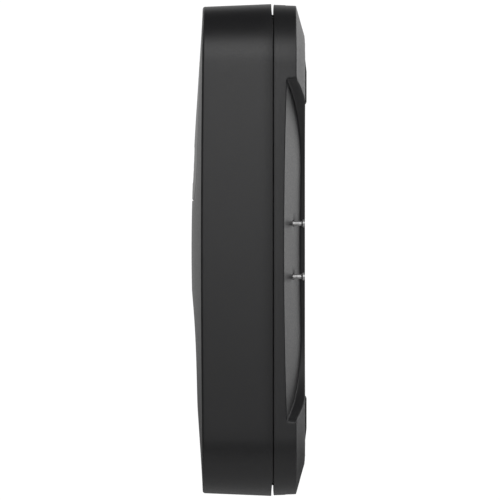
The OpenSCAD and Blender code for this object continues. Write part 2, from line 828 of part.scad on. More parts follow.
module speaker_magnet() {
    color("#8f9194") brick([-6, -18, speaker_lo + 2.4], [6, -12, speaker_hi - 0.8]);
}

// A flat cone with its coil former, free of the frame all round.
module speaker_cone() {
    x = speaker_half_w - 1.1;
    color("#3c3a36") {
        brick([-x, -19.9, speaker_lo + 0.5], [x, -9.9, speaker_lo + 0.8]);
        difference() {
            brick([-6.8, -18.8, speaker_lo + 0.7], [6.8, -11.2, speaker_lo + 4]);
            brick([-6.4, -18.4, speaker_lo + 0.6], [6.4, -11.6, speaker_lo + 4.1]);
        }
    }
}

module speaker_gasket() {
    low = inner_low + inner_wall + 0.2;
    color("#1d1d1e") both_sides() difference() {
        brick([4.4, -20, low], [speaker_half_w + 1, -10, speaker_lo]);
        brick([5.2, -19.2, low - 1], [speaker_half_w + 0.2, -10.8, speaker_lo + 1]);
    }
}

module speaker_mesh() {
    low = inner_low + inner_wall;
    color("#4d4e50") both_sides() brick([4.4, -20, low], [speaker_half_w + 1, -10, low + 0.2]);
}

// ---- security screw ----

module security_screw() {
    head_z = -half_h + 0.1;
    color("#8e9092") difference() {
        union() {
            post(guard_head_r, head_z, -half_h + guard_head_t, 0, guard_y);
            post(guard_r, -half_h + guard_head_t - 0.1, inner_low + guard_h - 0.8, 0, guard_y);
        }
        post(0.8, head_z - 1, head_z + 0.6, 0, guard_y, $fn = 6);
    }
}

module security_washer() {
    z = -half_h + guard_head_t;
    color("#1c1c1d") difference() {
        post(guard_head_r - 0.1, z, z + guard_washer_t, 0, guard_y);
        post(guard_r + 0.03, z - 1, z + 1, 0, guard_y);
    }
}

// ---- terminals ----

module terminal_screw(z) {
    color("#d4d6d8") difference() {
        union() {
            rod(term_shank_r, term_tip_y, -term_head_y - term_head_t + 0.1, term_x, z);
            translate([term_x, -term_head_y - 0.4, z]) rotate([90, 0, 0])
                cylinder(r1 = term_head_r, r2 = term_shank_r, h = term_head_t - 0.4);
            rod(term_head_r, -term_head_y - 0.41, -term_head_y, term_x, z);
        }
        brick([term_x - 0.15, -term_head_y - 0.35, z - 2], [term_x + 0.15, 1, z + 2]);
    }
}
module terminal_screw_upper() { terminal_screw(term_zs[1]); }
module terminal_screw_lower() { terminal_screw(term_zs[0]); }

// A ring near the screw's tip keeps it captive in its bush.
module terminal_ring(z) {
    color("#a3a5a8") difference() {
        rod(term_ring_r, term_tip_y + 0.05, term_tip_y + 0.55, term_x, z);
        rod(term_shank_r + 0.02, -12, -2, term_x, z);
    }
}
module terminal_ring_upper() { terminal_ring(term_zs[1]); }
module terminal_ring_lower() { terminal_ring(term_zs[0]); }

module terminal_bushes() {
    color("#b8934a") for (z = term_zs) difference() {
        rod(term_bush_r, term_end_y, term_seat_y, term_x, z);
        rod(term_shank_r + run_fit, -12, 0, term_x, z);
        rod(term_ring_r + 0.1, -12, -6.5, term_x, z);
    }
}

module terminal_strips() {
    top = 24;
    y0 = term_end_y - 0.4;
    color("#c7a05a") {
        for (z = term_zs) brick([term_x - 1.6, y0, z - 1.6], [term_x + 1.6, term_end_y, z + 1.6]);
        brick([term_x + 0.4, y0, term_zs[1]], [term_x + 1.6, term_end_y, top]);
        brick([term_x - 3, y0, term_zs[0] - 1.6], [term_x - 1.8, term_end_y, top]);
        brick([term_x - 3, y0, term_zs[0] - 1.6], [term_x - 1.5, term_end_y, term_zs[0] + 1.6]);
    }
}

// ---- charging side ----

module side_board() {
    color("#1d4d35") slab(side_board_y - board_t, side_board_y) pill(6.6, 30, 1, side_x, 0);
}

module charging_port() {
    color("#a9acaf") {
        difference() {
            slab(side_board_y, term_floor_y - 0.9) pill(3.2, 9, 1.5, side_x, port_z);
            slab(side_board_y + 1, 1) pill(2.6, 8.4, 1.2, side_x, port_z);
        }
        slab(side_board_y + 0.9, term_floor_y - 1.6) pill(0.7, 6.6, 0.2, side_x, port_z);
    }
}

module setup_button() {
    color("#c8612a") {
        rod(setup_r, side_board_y + 2.2, term_floor_y + 0.4, side_x, setup_z);
        rod(setup_r + 0.7, side_board_y + 2.6, side_board_y + 3.3, side_x, setup_z);
        rod(0.9, side_board_y + 0.9, side_board_y + 2.3, side_x, setup_z);
    }
}

module setup_switch() {
    color("#8d9093") difference() {
        slab(side_board_y, side_board_y + 1.5) pill(4.5, 4.5, 0.3, side_x, setup_z);
        rod(0.9 + run_fit, side_board_y + 0.4, 0, side_x, setup_z);
    }
}

faceplate();
front_housing();
rear_housing();
housing_seal();
rear_pads();
housing_screws();
camera_window();
lens_bezel();
lens_cover();
lens_barrel();
lens_elements();
light_baffle();
camera_holder();
camera_board();
image_sensor();
infrared_board();
infrared_leds();
light_sensor();
microphone();
microphone_gasket();
motion_lens();
motion_sensor();
motion_board();
bell_button();
button_plunger();
button_switch();
button_seal();
button_board();
light_ring();
ring_leds();
button_ribbon();
main_board();
board_screws();
radio_shield();
processor_chips();
board_parts();
board_connectors();
antenna();
battery_cells();
battery_strips();
battery_foam();
battery_board();
battery_leads();
speaker_frame();
speaker_magnet();
speaker_cone();
speaker_gasket();
speaker_mesh();
security_screw();
security_washer();
terminal_screw_upper();
terminal_screw_lower();
terminal_ring_upper();
terminal_ring_lower();
terminal_bushes();
terminal_strips();
side_board();
charging_port();
setup_button();
setup_switch();
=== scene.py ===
"""The looks of the video doorbell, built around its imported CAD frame. Metres outside, millimetres in the shape code."""
import json
import math

import bmesh
import bpy
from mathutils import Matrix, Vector
from mathutils.geometry import delaunay_2d_cdt


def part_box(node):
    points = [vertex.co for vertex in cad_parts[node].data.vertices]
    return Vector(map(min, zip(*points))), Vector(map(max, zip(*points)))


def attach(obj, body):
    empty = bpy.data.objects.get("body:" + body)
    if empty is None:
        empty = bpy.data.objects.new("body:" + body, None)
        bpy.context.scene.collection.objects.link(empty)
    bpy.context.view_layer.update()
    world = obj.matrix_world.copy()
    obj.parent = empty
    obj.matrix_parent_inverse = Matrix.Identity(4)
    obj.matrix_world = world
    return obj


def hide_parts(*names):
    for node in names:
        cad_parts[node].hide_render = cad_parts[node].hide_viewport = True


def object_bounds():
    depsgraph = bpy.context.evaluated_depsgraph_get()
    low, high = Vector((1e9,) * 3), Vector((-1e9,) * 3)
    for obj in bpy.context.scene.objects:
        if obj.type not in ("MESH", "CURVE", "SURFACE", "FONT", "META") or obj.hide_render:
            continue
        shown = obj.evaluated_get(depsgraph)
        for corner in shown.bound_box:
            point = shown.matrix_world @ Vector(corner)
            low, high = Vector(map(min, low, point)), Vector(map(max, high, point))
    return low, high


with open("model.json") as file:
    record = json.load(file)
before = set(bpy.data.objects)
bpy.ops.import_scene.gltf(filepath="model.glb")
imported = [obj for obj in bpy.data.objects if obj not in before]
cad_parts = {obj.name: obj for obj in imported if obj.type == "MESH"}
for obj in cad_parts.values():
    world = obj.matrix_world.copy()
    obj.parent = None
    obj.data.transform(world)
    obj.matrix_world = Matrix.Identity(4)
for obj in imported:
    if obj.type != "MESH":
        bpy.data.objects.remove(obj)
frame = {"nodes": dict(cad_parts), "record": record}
cad_low, cad_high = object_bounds()
MM = 0.001


def corners(node):
    """A CAD node's lowest and highest corners, in millimetres."""
    low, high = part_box(node)
    return low / MM, high / MM


def middle(node):
    low, high = corners(node)
    return (low + high) / 2


# ---- sizes that the frame gives ----

PLATE_HIGH = corners("faceplate")[1]
REAR_HIGH = corners("rear_housing")[1]
WINDOW_LOW, WINDOW_HIGH = corners("camera_window")
INNER_LOW = corners("front_housing")[0]
HALF_W = PLATE_HIGH.x
HALF_H = PLATE_HIGH.z
CROWN_Y = cad_low[1] / MM
PLATE_BACK_Y = PLATE_HIGH.y
PLATEAU_Y = REAR_HIGH.y
BUTTON_R = corners("bell_button")[1].x
BUTTON_AT = (0, middle("bell_button").z)
WINDOW_AT = (0, (WINDOW_LOW.z + WINDOW_HIGH.z) / 2)
WINDOW_W = WINDOW_HIGH.x - WINDOW_LOW.x
WINDOW_H = WINDOW_HIGH.z - WINDOW_LOW.z
TERMINALS = [middle("terminal_screw_upper"), middle("terminal_screw_lower")]

# ---- sizes of the outline and the crown, as the CAD has them ----

PART_GAP = 0.2
RIM_Y = PLATE_BACK_Y + PART_GAP
PAD_LIFT = 0.25
HOUSING_HALF_H = HALF_H - PAD_LIFT

CORNER_R = 15
DRAFT = 0.69
EDGE_ROUND = 0.7
PLATE_WALL = 1.6
PLATE_FRONT = 1.8
CROWN_END = 3.07
CROWN_SIDE = 2.9
SIDE_LIFT = 0.28
CROWN_SPAN = math.radians(114.6)
END_GAP = 0.4
END_GAP_REACH = 6.5
FIT = 0.2
RING_OUT = corners("light_ring")[1].x - 0.6
WINDOW_R = 9
WINDOW_WALL = 1.5
LENS_SEAT_Y = -27.0
SHARP = 35


# ---- shape tools ----

def corner_point(w, h, r, c, t):
    """A point on corner c of a rounded rectangle, a share t of the way round it."""
    a = math.radians(90 * (c + t))
    sx = 1 if c in (0, 3) else -1
    sz = 1 if c < 2 else -1
    return (sx * (w / 2 - r) + r * math.cos(a), sz * (h / 2 - r) + r * math.sin(a))


def outline(w, h, r, arc=16, ends=1, sides=1, center=(0, 0)):
    """A rounded rectangle, counter-clockwise in X and Z, with spare points on its ends and sides."""
    pts = []
    for c in range(4):
        pts += [corner_point(w, h, r, c, i / arc) for i in range(arc + 1)]
        a, b = pts[-1], corner_point(w, h, r, (c + 1) % 4, 0)
        n = ends if c % 2 == 0 else sides
        pts += [(a[0] + (b[0] - a[0]) * i / n, a[1] + (b[1] - a[1]) * i / n) for i in range(1, n)]
    return [(x + center[0], z + center[1]) for x, z in pts]


def circle(r, center, steps=96):
    """A circle, counter-clockwise in X and Z."""
    turn = [math.tau * i / steps for i in range(steps)]
    return [(center[0] + r * math.cos(a), center[1] + r * math.sin(a)) for a in turn]


def crown(x, z):
    """The Y of the crowned front over a point."""
    mid = CROWN_END * (1 - math.cos(CROWN_SPAN * abs(z) / HALF_H)) / (1 - math.cos(CROWN_SPAN))
    side = CROWN_SIDE + SIDE_LIFT * (z / HALF_H) ** 2
    return CROWN_Y + mid + (side - mid) * (x / HALF_W) ** 2


def smooth(t):
    """An eased step from 0 to 1."""
    t = min(max(t, 0), 1)
    return t * t * (3 - 2 * t)


def blend_min(a, b, k):
    """The smaller of two heights, rounded over where they meet."""
    return min(a, b) - max(k - abs(a - b), 0) ** 2 / (4 * k)


def inside(p, loop):
    """Whether a point lies in a closed loop."""
    hit = False
    for (ax, az), (bx, bz) in zip(loop, loop[1:] + loop[:1]):
        if (az > p[1]) != (bz > p[1]) and p[0] < (bx - ax) * (p[1] - az) / (bz - az) + ax:
            hit = not hit
    return hit


def grid(loop, step):
    """Points on a staggered grid, over the box of a loop."""
    xs, zs = [p[0] for p in loop], [p[1] for p in loop]
    nx = max(2, round((max(xs) - min(xs)) / step))
    nz = max(2, round((max(zs) - min(zs)) / (step * 0.87)))
    return [
        (min(xs) + (i + 0.5 * (k % 2)) * (max(xs) - min(xs)) / nx, min(zs) + k * (max(zs) - min(zs)) / nz)
        for k in range(nz + 1) for i in range(nx + 1)
    ]


def gap_to(p, loops):
    """Distance from a point to the nearest edge of some loops."""
    best = 1e9
    for loop in loops:
        for (ax, az), (bx, bz) in zip(loop, loop[1:] + loop[:1]):
            ux, uz = bx - ax, bz - az
            t = min(max(((p[0] - ax) * ux + (p[1] - az) * uz) / max(ux * ux + uz * uz, 1e-12), 0), 1)
            best = min(best, math.hypot(p[0] - ax - t * ux, p[1] - az - t * uz))
    return best


ROW_CLEAR = 0.06
GRID_CLEAR = 0.45


class Skin:
    """The points and faces of one piece, in millimetres."""

    def __init__(self):
        self.points = []
        self.faces = []

    def loop(self, pts, y):
        """Adds a closed loop of X, Z points at a height, which is a number, a list or a function of X and Z."""
        start = len(self.points)
        for i, (x, z) in enumerate(pts):
            h = y(x, z) if callable(y) else y[i] if isinstance(y, list) else y
            self.points.append((x, h, z))
        return list(range(start, len(self.points)))

    def bridge(self, a, b):
        """Quads from loop a to loop b. With a behind b, and both counter-clockwise, they face outwards."""
        n = len(a)
        for i in range(n):
            j = (i + 1) % n
            self.faces.append((b[i], a[i], a[j], b[j]))

    def bridges(self, loops):
        """Bridges a row of loops that runs from back to front."""
        for a, b in zip(loops, loops[1:]):
            self.bridge(a, b)

    def patch(self, outer, holes, height, step, front=True, rows=()):
        """Fills the flat or gently curved area between a loop and its holes, with fine rows where asked."""
        borders = [outer] + list(holes)
        flat = [[(self.points[i][0], self.points[i][2]) for i in loop] for loop in borders]
        ids, coords, edges = [], [], []
        for loop, pts in zip(borders, flat):
            base = len(coords)
            coords += pts
            ids += loop
            edges += [(base + i, base + (i + 1) % len(pts)) for i in range(len(pts))]
        for row in rows:
            kept = [inside(p, flat[0]) and gap_to(p, flat) > ROW_CLEAR for p in row]
            for i, p in enumerate(row):
                if kept[i]:
                    if i and kept[i - 1]:
                        edges.append((len(coords) - 1, len(coords)))
                    coords.append(p)
        near = [p for row in rows for p in row]
        cells = {(round(x / step), round(z / step)) for x, z in near}
        for p in grid(flat[0], step):
            clear = (round(p[0] / step), round(p[1] / step)) not in cells
            if clear and inside(p, flat[0]) and gap_to(p, flat) > GRID_CLEAR * step:
                if not any(inside(p, h) for h in flat[1:]):
                    coords.append(p)
        verts, _, tris, origin, _, _ = delaunay_2d_cdt([Vector(p) for p in coords], edges, [], 0, 1e-5)
        index = []
        for v, source in zip(verts, origin):
            known = [s for s in source if s < len(ids)]
            if known:
                index.append(ids[known[0]])
            else:
                index.append(len(self.points))
                self.points.append((v.x, height(v.x, v.y), v.y))
        for t in tris:
            mid = (sum(verts[i].x for i in t) / 3, sum(verts[i].y for i in t) / 3)
            if inside(mid, flat[0]) and not any(inside(mid, h) for h in flat[1:]):
                a, b, c = (index[i] for i in t)
                self.faces.append((a, b, c) if front else (a, c, b))

    def build(self, name, sharp=SHARP):
        """The piece itself, with its normals outwards."""
        mesh = bpy.data.meshes.new(name)
        mesh.from_pydata([tuple(c * MM for c in p) for p in self.points], [], self.faces)
        mesh.validate()
        bm = bmesh.new()
        bm.from_mesh(mesh)
        bmesh.ops.remove_doubles(bm, verts=bm.verts, dist=1e-7)
        bmesh.ops.recalc_face_normals(bm, faces=bm.faces)
        bm.to_mesh(mesh)
        bm.free()
        return finish_mesh(mesh, name, sharp)


def shade(mesh, sharp=SHARP):
    """Smooth shading, with edges over an angle kept sharp."""
    mesh.shade_smooth()
    mesh.set_sharp_from_angle(angle=math.radians(sharp))


def finish_mesh(mesh, name, sharp=SHARP):
    """An object for a finished mesh, in the scene."""
    shade(mesh, sharp)
    piece = bpy.data.objects.new(name, mesh)
    bpy.context.scene.collection.objects.link(piece)
    return piece


def revolve(name, profile, base, steps=48):
    """Turns a profile of (radius, height) points about an upright axis through base. It closes on the axis."""
    bm = bmesh.new()
    rings = []
    for r, h in profile:
        ring = []
        for i in range(steps if r > 0 else 1):
            a = math.tau * i / steps
            offset = (r * math.cos(a), r * math.sin(a), h)
            ring.append(bm.verts.new([(base[k] + offset[k]) * MM for k in range(3)]))
        rings.append(ring)
    for a, b in zip(rings, rings[1:]):
        for i in range(steps):
            j = (i + 1) % steps
            corner = [a[i % len(a)], a[j % len(a)], b[j % len(b)], b[i % len(b)]]
            face = list(dict.fromkeys(corner))
            if len(face) > 2:
                bm.faces.new(face)
    bmesh.ops.recalc_face_normals(bm, faces=bm.faces)
    mesh = bpy.data.meshes.new(name)
    bm.to_mesh(mesh)
    bm.free()
    return finish_mesh(mesh, name)


def brick(name, low, high):
    """A box between two corners, in millimetres."""
    bm = bmesh.new()
    bmesh.ops.create_cube(bm, size=1)
    for v in bm.verts:
        v.co = Vector([(low[k] + (v.co[k] + 0.5) * (high[k] - low[k])) * MM for k in range(3)])
    mesh = bpy.data.meshes.new(name)
    bm.to_mesh(mesh)
    bm.free()
    return finish_mesh(mesh, name)


def cut(piece, cutters):
    """Takes the cutters out of a piece, and removes them."""
    for cutter in cutters:
        tool = piece.modifiers.new("cut", "BOOLEAN")
        tool.operation = "DIFFERENCE"
        tool.solver = "EXACT"
        tool.object = cutter
    depsgraph = bpy.context.evaluated_depsgraph_get()
    mesh = bpy.data.meshes.new_from_object(piece.evaluated_get(depsgraph))
    piece.modifiers.clear()
    piece.data = mesh
    shade(mesh)
    for cutter in cutters:
        bpy.data.objects.remove(cutter)


# ---- materials ----

def new_material(name):
    """A new material, its node tree and its shader."""
    mat = bpy.data.materials.new(name)
    mat.use_nodes = True
    return mat, mat.node_tree, mat.node_tree.nodes["Principled BSDF"]


def set_sockets(shader, sockets):
    for socket, value in sockets.items():
        shader.inputs[socket.replace("_", " ")].default_value = value


def noise(tree, scale, detail=3, stretch=(1, 1, 1)):
    """Noise in the row frame's metres, so its scale is in features for each metre."""
    where = tree.nodes.new("ShaderNodeTexCoord")
    fit = tree.nodes.new("ShaderNodeMapping")
    fit.inputs["Scale"].default_value = stretch
    made = tree.nodes.new("ShaderNodeTexNoise")
    made.inputs["Scale"].default_value = scale
    made.inputs["Detail"].default_value = detail
    tree.links.new(where.outputs["Object"], fit.inputs["Vector"])
    tree.links.new(fit.outputs["Vector"], made.inputs["Vector"])
    return made.outputs["Fac"]


def spread(tree, value, low, high, start=0.3, end=0.7):
    """Maps a value that runs from start to end onto low to high."""
    made = tree.nodes.new("ShaderNodeMapRange")
    made.inputs["From Min"].default_value = start
    made.inputs["From Max"].default_value = end
    made.inputs["To Min"].default_value = low
    made.inputs["To Max"].default_value = high
    tree.links.new(value, made.inputs["Value"])
    return made.outputs["Result"]


def two_tone(tree, value, dark, light):
    """A colour between dark and light, by a value."""
    made = tree.nodes.new("ShaderNodeValToRGB")
    made.color_ramp.elements[0].position = 0.3
    made.color_ramp.elements[1].position = 0.7
    made.color_ramp.elements[0].color = (*dark, 1)
    made.color_ramp.elements[1].color = (*light, 1)
    tree.links.new(value, made.inputs["Fac"])
    return made.outputs["Color"]


def bump(tree, shader, value, height):
    """Relief of a height in millimetres."""
    made = tree.nodes.new("ShaderNodeBump")
    made.inputs["Strength"].default_value = 1
    made.inputs["Distance"].default_value = height * MM
    tree.links.new(value, made.inputs["Height"])
    tree.links.new(made.outputs["Normal"], shader.inputs["Normal"])


def surface(name, color, rough, grain=2500, depth=0.004, tone=0.12, rough_spread=0.05, **sockets):
    """A moulded or coated surface: uneven tone, uneven gloss and a fine grain."""
    mat, tree, shader = new_material(name)
    slow = noise(tree, 90, 4)
    fine = noise(tree, grain, 2)
    dark = [c * (1 - tone) for c in color]
    light = [c * (1 + tone) for c in color]
    tree.links.new(two_tone(tree, slow, dark, light), shader.inputs["Base Color"])
    tree.links.new(spread(tree, fine, rough - rough_spread, rough + rough_spread), shader.inputs["Roughness"])
    bump(tree, shader, fine, depth)
    set_sockets(shader, sockets)
    return mat


def board_surface(name):
    """Green solder mask with paler tracks under it."""
    mat, tree, shader = new_material(name)
    where = tree.nodes.new("ShaderNodeTexCoord")
    cells = tree.nodes.new("ShaderNodeTexVoronoi")
    cells.distance = "MANHATTAN"
    cells.feature = "DISTANCE_TO_EDGE"
    cells.inputs["Scale"].default_value = 420
    tree.links.new(where.outputs["Object"], cells.inputs["Vector"])
    tracks = spread(tree, cells.outputs["Distance"], 1, 0, 0.05, 0.12)
    color = two_tone(tree, tracks, (0.010, 0.075, 0.040), (0.035, 0.16, 0.085))
    tree.links.new(color, shader.inputs["Base Color"])
    bump(tree, shader, tracks, 0.02)
    shader.inputs["Roughness"].default_value = 0.32
    return mat


def sleeve_surface(name, color):
    """Shrink sleeve: glossy, with faint wrinkles across it, and painted shade darkening the wrinkles' hollows."""
    mat, tree, shader = new_material(name)
    wrinkle = noise(tree, 160, 4, (1, 1, 3.5))
    # The darker colour follows the same noise as the bump, so it is painted shade in the wrinkles' hollows.
    dark = [c * 0.8 for c in color]
    tree.links.new(two_tone(tree, wrinkle, dark, color), shader.inputs["Base Color"])
    bump(tree, shader, wrinkle, 0.05)
    shader.inputs["Roughness"].default_value = 0.28
    return mat


def cloth_surface(name, color):
    """Fine woven cloth."""
    mat, tree, shader = new_material(name)
    where = tree.nodes.new("ShaderNodeTexCoord")
    weave = tree.nodes.new("ShaderNodeTexChecker")
    weave.inputs["Scale"].default_value = 4000
    tree.links.new(where.outputs["Object"], weave.inputs["Vector"])
    dark = [c * 0.4 for c in color]
    tree.links.new(two_tone(tree, weave.outputs["Fac"], dark, color), shader.inputs["Base Color"])
    shader.inputs["Roughness"].default_value = 0.9
    return mat


def glass_surface(name, color, rough=0.02, **sockets):
    """Clear or tinted glass, with a trace of smear in its gloss."""
    mat, tree, shader = new_material(name)
    smear = noise(tree, 60, 3)
    tree.links.new(spread(tree, smear, rough, rough + 0.04), shader.inputs["Roughness"])
    tree.links.new(two_tone(tree, smear, [c * 0.96 for c in color], color), shader.inputs["Base Color"])
    set_sockets(shader, sockets)
    return mat


MATERIALS = {
    "faceplate_plastic": surface("faceplate_plastic", (0.012, 0.012, 0.013), 0.42, tone=0.05),
    "housing_plastic": surface("housing_plastic", (0.013, 0.013, 0.014), 0.45, tone=0.05),
    "window_plastic": surface("window_plastic", (0.008, 0.008, 0.009), 0.34, depth=0.0005, rough_spread=0.02),
    "inner_plastic": surface("inner_plastic", (0.018, 0.018, 0.020), 0.55, depth=0.006),
    "button_plastic": surface("button_plastic", (0.026, 0.027, 0.029), 0.38, tone=0.05),
    "diffuser": surface("diffuser", (0.62, 0.64, 0.66), 0.4, depth=0.001, tone=0.03, Subsurface_Weight=0.3),
    "clear_cover": glass_surface("clear_cover", (0.85, 0.88, 0.92), Transmission_Weight=1.0, IOR=1.49),
    "lens_glass": glass_surface("lens_glass", (0.55, 0.62, 0.85), Transmission_Weight=0.85, IOR=1.7),
    "circuit_board": board_surface("circuit_board"),
    "chip_black": surface("chip_black", (0.018, 0.018, 0.020), 0.5, grain=6000),
    "part_ceramic": surface("part_ceramic", (0.42, 0.36, 0.28), 0.5),
    "connector_white": surface("connector_white", (0.72, 0.70, 0.62), 0.45),
    "shield_tin": surface("shield_tin", (0.62, 0.62, 0.63), 0.3, depth=0.002, Metallic=1.0),
    "screw_steel": surface("screw_steel", (0.5, 0.5, 0.5), 0.42, grain=5000, depth=0.001, Metallic=0.8),
    "brass": surface("brass", (0.72, 0.52, 0.22), 0.3, depth=0.002, Metallic=1.0),
    "copper_film": surface("copper_film", (0.62, 0.36, 0.16), 0.35, depth=0.001, Metallic=0.6),
    "cell_wrap": sleeve_surface("cell_wrap", (0.03, 0.12, 0.34)),
    "rubber_black": surface("rubber_black", (0.020, 0.020, 0.021), 0.72, depth=0.006),
    "foam_grey": surface("foam_grey", (0.05, 0.05, 0.052), 0.95, grain=1500, depth=0.08),
    "mesh_cloth": cloth_surface("mesh_cloth", (0.05, 0.05, 0.052)),
    "cone_paper": surface("cone_paper", (0.10, 0.09, 0.08), 0.7, grain=1800, depth=0.02),
    "wire_jacket": surface("wire_jacket", (0.28, 0.02, 0.02), 0.35),
    "led_lens": surface("led_lens", (0.18, 0.15, 0.24), 0.15, depth=0.001),
    "setup_orange": surface("setup_orange", (0.50, 0.13, 0.03), 0.42),
}


def dress(piece, slot):
    """Gives a piece the material of a slot."""
    piece.data.materials.clear()
    piece.data.materials.append(MATERIALS[slot])


def stand_in(piece, body, slot, *nodes):
    """A finished piece that rides on a body in place of CAD nodes."""
    dress(piece, slot)
    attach(piece, body)
    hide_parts(*nodes)


for part in frame["record"]["subparts"]:
    node = frame["nodes"][part["node"]]
    node.data.materials.clear()
    node.data.materials.append(MATERIALS[part["material_slot"]])
    shade(node.data, 30)


# ---- crowned shells: the faceplate and the camera window ----

LIP_TURN = 0.29


def no_relief(x, z):
    return 0


def crowned_shell(ring, holes, wall, front, back, edge_round, step, lip, lean=0, relief=no_relief):
    """A shell with a crowned front of a thickness. ring(inset) is its outline and leans in towards the front,
    holes are functions of an offset with a rounded lip, and relief(x, z) moves its back edge forwards."""
    skin = Skin()
    rim = ring(lean + edge_round)

    def inner_y(x, z):
        return crown(x, z) + front

    backs = [back - relief(x, z) for x, z in ring(0)]
    loops = [
        skin.loop(ring(wall), [y - 0.15 for y in backs]),
        skin.loop(ring(wall - 0.15), backs),
        skin.loop(ring(0.15), backs),
        skin.loop(ring(0.05), [y - 0.05 for y in backs]),
        skin.loop(ring(0), [y - 0.15 for y in backs]),
    ]
    shoulder = [crown(x, z) + edge_round for x, z in rim]
    for i in range(1, 4):
        t = i / 4
        loops.append(skin.loop(ring(lean * t), [b + (s - b) * t for b, s in zip(backs, shoulder)]))
    for i in range(6):
        a = math.radians(15 * i)
        turned = [s - edge_round * math.sin(a) for s in shoulder]
        loops.append(skin.loop(ring(lean + edge_round * (1 - math.cos(a))), turned))
    loops.append(skin.loop(rim, crown))
    skin.bridges(loops)
    mouths, throats = [], []
    for hole in holes:
        steps = [
            skin.loop(hole(lip), crown),
            skin.loop(hole(lip * LIP_TURN), lambda x, z: crown(x, z) + lip * LIP_TURN),
            skin.loop(hole(0), lambda x, z: crown(x, z) + lip),
            skin.loop(hole(0), inner_y),
        ]
        skin.bridges(steps[::-1])
        mouths.append(steps[0])
        throats.append(steps[-1])
    skin.patch(loops[-1], mouths, crown, step)
    ceiling = skin.loop(ring(wall + lean), inner_y)
    skin.bridge(ceiling, loops[0])
    skin.patch(ceiling, throats, inner_y, step * 1.6, front=False)
    return skin


def plate_ring(inset):
    return outline(2 * (HALF_W - inset), 2 * (HALF_H - inset), CORNER_R - inset, 20, 12, 32)


def window_ring(inset):
    return outline(WINDOW_W - 2 * inset, WINDOW_H - 2 * inset, WINDOW_R - inset, 14, 10, 10, WINDOW_AT)


SLOT_XS = (-10, -8, -6, 6, 8, 10)
SLOT_HALF_W = 0.5
SLOT_FRONT_Y, SLOT_BACK_Y = -19, -11
WASHER_BORE_R = 2.2
SCREW_BORE_R = 1.1


def make_faceplate():
    def end_relief(x, z):
        return END_GAP * smooth((abs(z) - HALF_H + END_GAP_REACH) / 6)

    holes = [lambda off: window_ring(-FIT - off), lambda off: circle(RING_OUT + FIT + off, BUTTON_AT, 128)]
    skin = crowned_shell(plate_ring, holes, PLATE_WALL, PLATE_FRONT, PLATE_BACK_Y, EDGE_ROUND, 2.2, 0.18,
                         DRAFT, end_relief)
    plate = skin.build("faceplate_shell")
    low, top = -HALF_H - 1, INNER_LOW.z + 0.3
    cutters = [brick("slot", (x - SLOT_HALF_W, SLOT_FRONT_Y, low), (x + SLOT_HALF_W, SLOT_BACK_Y, top))
               for x in SLOT_XS]
    screw = middle("security_screw")
    shoulder = corners("security_washer")[1].z
    bore = [(0, low), (WASHER_BORE_R, low), (WASHER_BORE_R, shoulder), (SCREW_BORE_R, shoulder),
            (SCREW_BORE_R, top), (0, top)]
    cutters.append(revolve("bore", bore, (screw.x, screw.y, 0)))
    cut(plate, cutters)
    stand_in(plate, "faceplate", "faceplate_plastic", "faceplate")


LENS_HOLE_R = 7.6
MIC_HOLE_R = 0.45
FLANGE_W = 1.2
FLANGE_ROOT = 0.3


def make_window():
    lens, mic = middle("lens_cover"), middle("microphone_gasket")
    pir_low, pir_high = corners("motion_lens")
    pir_mid = (pir_low + pir_high) / 2
    pir_w, pir_h = pir_high.x - pir_low.x + FIT, pir_high.z - pir_low.z + FIT
    holes = [
        lambda off: circle(LENS_HOLE_R + off, (0, lens.z), 96),
        lambda off: outline(pir_w + 2 * off, pir_h + 2 * off, 3.5 + off, 10, 6, 3, (0, pir_mid.z)),
        lambda off: circle(MIC_HOLE_R + off * 0.5, (0, mic.z), 24),
    ]
    skin = crowned_shell(window_ring, holes, WINDOW_WALL, WINDOW_WALL, INNER_LOW.y, 0.3, 1.6, 0.1)
    stand_in(skin.build("window_panel"), "base", "window_plastic", "camera_window")

    skin = Skin()
    back, front = INNER_LOW.y - 0.1, INNER_LOW.y - 0.28
    outer, root = window_ring(-FLANGE_W), window_ring(FLANGE_ROOT)
    loops = [skin.loop(outer, back), skin.loop(outer, front), skin.loop(root, front), skin.loop(root, back)]
    skin.bridges(loops + loops[:1])
    flange = skin.build("window_flange")
    dress(flange, "window_plastic")
    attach(flange, "base")


# ---- smaller crowned pieces ----

def crowned_cap(name, ring, height, back, edge, step, rows=()):
    """A solid cap: a flat back, straight sides, a rounded edge and a front that follows height(x, z)."""
    skin = Skin()
    rim = ring(edge)
    shoulder = [height(x, z) + edge for x, z in rim]
    loops = [skin.loop(ring(0), back)]
    for i in range(4):
        a = math.radians(22.5 * i)
        loops.append(skin.loop(ring(edge * (1 - math.cos(a))), [s - edge * math.sin(a) for s in shoulder]))
    loops.append(skin.loop(rim, height))
    skin.bridges(loops)
    skin.patch(loops[-1], [], height, step, rows=rows)
    skin.patch(loops[0], [], lambda x, z: back, step * 2, front=False)
    return skin.build(name)


BUTTON_SINK = 0.35
BUTTON_DISH = 0.35


def make_button():
    def height(x, z):
        r = math.hypot(x, z - BUTTON_AT[1]) / BUTTON_R
        return crown(x, z) + BUTTON_SINK + BUTTON_DISH * (1 - smooth(r * 1.02))

    rings = [circle(BUTTON_R * share, BUTTON_AT, 72) for share in (0.96, 0.9, 0.8, 0.65)]
    back = corners("bell_button")[1].y - 0.8
    cap = crowned_cap("button_cap", lambda inset: circle(BUTTON_R - inset, BUTTON_AT, 120), height, back, 0.3,
                      1.5, [ring + ring[:1] for ring in rings])
    stand_in(cap, "bell_button", "button_plastic", "bell_button")


RING_SINK = 0.15
RING_BULGE = 0.22


